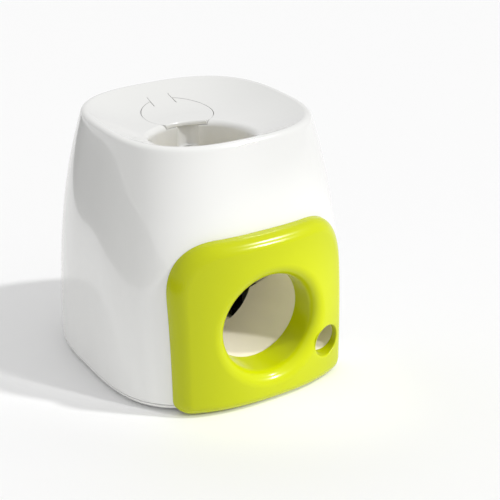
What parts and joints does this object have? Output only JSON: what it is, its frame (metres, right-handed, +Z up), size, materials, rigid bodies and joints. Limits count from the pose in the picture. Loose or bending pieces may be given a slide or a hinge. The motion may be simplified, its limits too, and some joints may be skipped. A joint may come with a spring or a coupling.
{
  "type": "automatic dog ball launcher",
  "caption": "White moulded dog toy with a dished top, ball inlet and hinged treat lid, and a glossy lime front panel with a round ball outlet and a small treat outlet",
  "frame": {"origin": "the middle of the bounding box's bottom face, on the surface that the toy stands on", "axes": "+Z up; +Y from front to back, so the front panel with its outlets faces -Y; +X to the right as seen from the front, towards the treat outlet"},
  "size_m": [0.183, 0.1954, 0.18],
  "materials": {
    "white_gloss": "smooth glossy white moulded plastic",
    "lime_gloss": "smooth glossy lime green moulded plastic",
    "cream_plastic": "satin cream white moulded plastic",
    "acetal": "natural satin acetal",
    "dark_plastic": "satin black moulded plastic",
    "steel": "ground steel rod and wire",
    "bush_brass": "plain brass",
    "screw_metal": "zinc plated steel",
    "foot_rubber": "black rubber"
  },
  "bodies": {
    "housing": {"housing_shell": "white_gloss", "inlet_collar": "white_gloss", "base_plate": "white_gloss", "front_panel": "lime_gloss", "drop_tube": "cream_plastic", "ball_chute": "cream_plastic", "treat_hopper": "cream_plastic", "hinge_pin": "steel", "metering_case": "acetal", "metering_cover": "acetal", "treat_chute": "cream_plastic", "idler_axle": "steel", "gear_frame": "dark_plastic", "wheel_bracket": "dark_plastic", "shaft_bushes": "bush_brass", "index_pivot": "steel", "index_spring": "steel", "base_screws": "screw_metal", "panel_screws": "screw_metal", "hopper_screws": "screw_metal", "cover_screws": "screw_metal", "case_screws": "screw_metal", "rubber_feet": "foot_rubber"},
    "lid": {"treat_lid": "white_gloss"},
    "wheel": {"paddle_wheel": "dark_plastic", "wheel_shaft": "steel", "drive_gear": "acetal", "index_cam": "acetal", "shaft_clips": "steel"},
    "idler": {"idler_gear": "acetal"},
    "drum": {"treat_drum": "lime_gloss", "drum_shaft": "steel", "drum_gear": "acetal", "drum_clips": "steel"},
    "lever": {"index_lever": "acetal"}
  },
  "joints": [
    {"name": "lid_hinge", "type": "hinge", "parent": "housing", "child": "lid", "pos_m": [0, 0.0602, 0.17183], "axis": [-1, 0, 0], "range_deg": [0, 95]},
    {"name": "wheel_spin", "type": "hinge", "parent": "housing", "child": "wheel", "pos_m": [0, 0.0342, 0.045], "axis": [1, 0, 0], "continuous": true},
    {"name": "idler_spin", "type": "hinge", "parent": "housing", "child": "idler", "pos_m": [0, 0.0342, 0.075], "axis": [1, 0, 0], "continuous": true},
    {"name": "drum_spin", "type": "hinge", "parent": "housing", "child": "drum", "pos_m": [0, 0.0342, 0.105], "axis": [1, 0, 0], "continuous": true},
    {"name": "lever_swing", "type": "hinge", "parent": "housing", "child": "lever", "pos_m": [0, 0.0522, 0.07], "axis": [-1, 0, 0], "range_deg": [0, 5], "stiffness_Nm_per_rad": 0.02, "springref_deg": 14.32}
  ],
  "couplings": [
    {"joint": "idler_spin", "follows": "wheel_spin", "ratio": -1.5},
    {"joint": "drum_spin", "follows": "wheel_spin", "ratio": 1}
  ]
}
